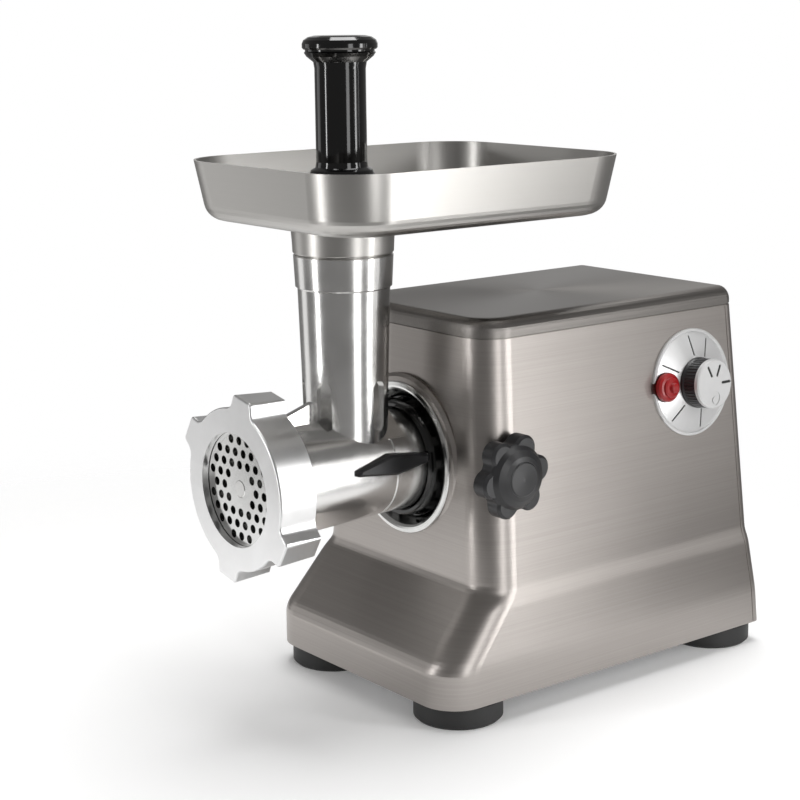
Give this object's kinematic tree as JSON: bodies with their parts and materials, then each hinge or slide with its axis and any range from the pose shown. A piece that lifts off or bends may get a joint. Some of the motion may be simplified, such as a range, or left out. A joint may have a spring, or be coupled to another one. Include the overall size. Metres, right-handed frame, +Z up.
{
  "type": "electric meat grinder",
  "caption": "Free-standing electric meat grinder with a removable grinding head, feed tray and pusher, side clamp knob and speed dial.",
  "frame": {"origin": "on the ground under the centre of the housing's base outline", "axes": "+Z up, -Y out of the grinding outlet, +X towards the side with the clamp knob and the dial"},
  "size_m": [0.186, 0.3525, 0.392],
  "materials": {
    "housing_steel": "brushed",
    "cover_steel": "brushed",
    "tray_steel": "brushed",
    "bright_steel": "polished",
    "plain_steel": "machined",
    "cast_aluminium": "satin",
    "raw_aluminium": "as cast",
    "copper_winding": "enamelled",
    "brass": "machined",
    "gloss_black": "gloss",
    "matte_black": "satin",
    "grey_plastic": "satin",
    "natural_nylon": "satin",
    "board_green": "satin",
    "carbon": "dull",
    "red_button": "satin",
    "silver_plastic": "metallised",
    "black_rubber": "dull"
  },
  "bodies": {
    "housing": {"housing_shell": "housing_steel", "top_cover": "cover_steel", "base_plate": "plain_steel", "foot_front_left": "black_rubber", "foot_front_right": "black_rubber", "foot_rear_left": "black_rubber", "foot_rear_right": "black_rubber", "foot_screws": "plain_steel", "rear_panel": "matte_black", "panel_screws": "plain_steel", "mains_inlet": "matte_black", "inlet_pins": "brass", "socket_bezel": "bright_steel", "socket_collar": "gloss_black", "head_socket": "raw_aluminium", "clamp_nut": "brass", "gearbox_case": "raw_aluminium", "gearbox_cover": "raw_aluminium", "gearbox_screws": "plain_steel", "output_bearing": "brass", "shaft_bushes": "brass", "motor_stator": "plain_steel", "field_coils": "copper_winding", "motor_front_bracket": "raw_aluminium", "motor_rear_bracket": "raw_aluminium", "motor_bearings": "brass", "brush_holders": "grey_plastic", "carbon_brushes": "carbon", "motor_cradle": "grey_plastic", "control_board": "board_green", "speed_switch": "grey_plastic", "reverse_switch": "grey_plastic", "dial_plate": "silver_plastic"},
    "output_drive": {"output_gear": "natural_nylon", "drive_shaft": "plain_steel"},
    "intermediate_drive": {"intermediate_gear": "natural_nylon", "intermediate_shaft": "plain_steel"},
    "rotor": {"rotor_shaft": "plain_steel", "rotor_core": "plain_steel", "rotor_windings": "copper_winding", "commutator": "brass", "cooling_fan": "grey_plastic"},
    "head": {"head_casting": "cast_aluminium", "neck_fin": "matte_black"},
    "auger_set": {"auger": "cast_aluminium", "auger_washer": "natural_nylon", "knife": "bright_steel"},
    "plate": {"grinding_plate": "bright_steel"},
    "nut": {"ring_nut": "cast_aluminium"},
    "food_tray": {"tray": "tray_steel"},
    "food_pusher": {"pusher": "gloss_black", "pusher_cap": "gloss_black"},
    "clamp_pad": {"clamp_shoe": "brass"},
    "clamp_screw": {"clamp_knob": "matte_black", "clamp_knob_cap": "matte_black", "clamp_stud": "bright_steel"},
    "speed_dial": {"speed_knob": "matte_black", "speed_knob_cap": "silver_plastic", "speed_spindle": "grey_plastic"},
    "reverse_key": {"reverse_button": "red_button"}
  },
  "joints": [
    {"name": "rotor_spin", "type": "hinge", "parent": "housing", "child": "rotor", "pos_m": [0, 0, 0.09], "axis": [0, 1, 0], "continuous": true},
    {"name": "intermediate_spin", "type": "hinge", "parent": "housing", "child": "intermediate_drive", "pos_m": [-0.03518, 0, 0.10383], "axis": [0, 1, 0], "continuous": true},
    {"name": "output_spin", "type": "hinge", "parent": "housing", "child": "output_drive", "pos_m": [0, 0, 0.143], "axis": [0, 1, 0], "continuous": true},
    {"name": "head_slide", "type": "slide", "parent": "housing", "child": "head", "axis": [0, -1, 0], "range_m": [0, 0.06]},
    {"name": "auger_spin", "type": "hinge", "parent": "head", "child": "auger_set", "pos_m": [0, -0.15, 0.143], "axis": [0, 1, 0], "continuous": true},
    {"name": "plate_travel", "type": "slide", "parent": "head", "child": "plate", "axis": [0, -1, 0], "range_m": [0, 0.016]},
    {"name": "ring_nut_turn", "type": "hinge", "parent": "plate", "child": "nut", "pos_m": [0, -0.2, 0.143], "axis": [0, -1, 0], "range_deg": [0, 1440]},
    {"name": "tray_lift", "type": "slide", "parent": "head", "child": "food_tray", "axis": [0, 0, 1], "range_m": [0, 0.04]},
    {"name": "pusher_lift", "type": "slide", "parent": "food_tray", "child": "food_pusher", "axis": [0, 0, 1], "range_m": [0, 0.15]},
    {"name": "clamp_pad_travel", "type": "slide", "parent": "housing", "child": "clamp_pad", "axis": [1, 0, 0], "range_m": [0, 0.003]},
    {"name": "clamp_knob_turn", "type": "hinge", "parent": "clamp_pad", "child": "clamp_screw", "pos_m": [0.08, -0.083, 0.146], "axis": [1, 0, 0], "range_deg": [0, 720]},
    {"name": "speed_dial_turn", "type": "hinge", "parent": "housing", "child": "speed_dial", "pos_m": [0.07405, 0.0755, 0.1775], "axis": [0.9958, 0, 0.0911], "range_deg": [0, 270]},
    {"name": "reverse_button_press", "type": "slide", "parent": "housing", "child": "reverse_key", "axis": [-0.9958, 0, -0.0911], "range_m": [0, 0.003], "stiffness_N_per_m": 600}
  ],
  "couplings": [
    {"joint": "intermediate_spin", "follows": "rotor_spin", "ratio": -0.16667},
    {"joint": "output_spin", "follows": "rotor_spin", "ratio": 0.030303},
    {"joint": "auger_spin", "follows": "rotor_spin", "ratio": 0.030303},
    {"joint": "plate_travel", "follows": "ring_nut_turn", "m_per_rad": 0.00063662},
    {"joint": "clamp_pad_travel", "follows": "clamp_knob_turn", "m_per_rad": 0.00023873}
  ]
}
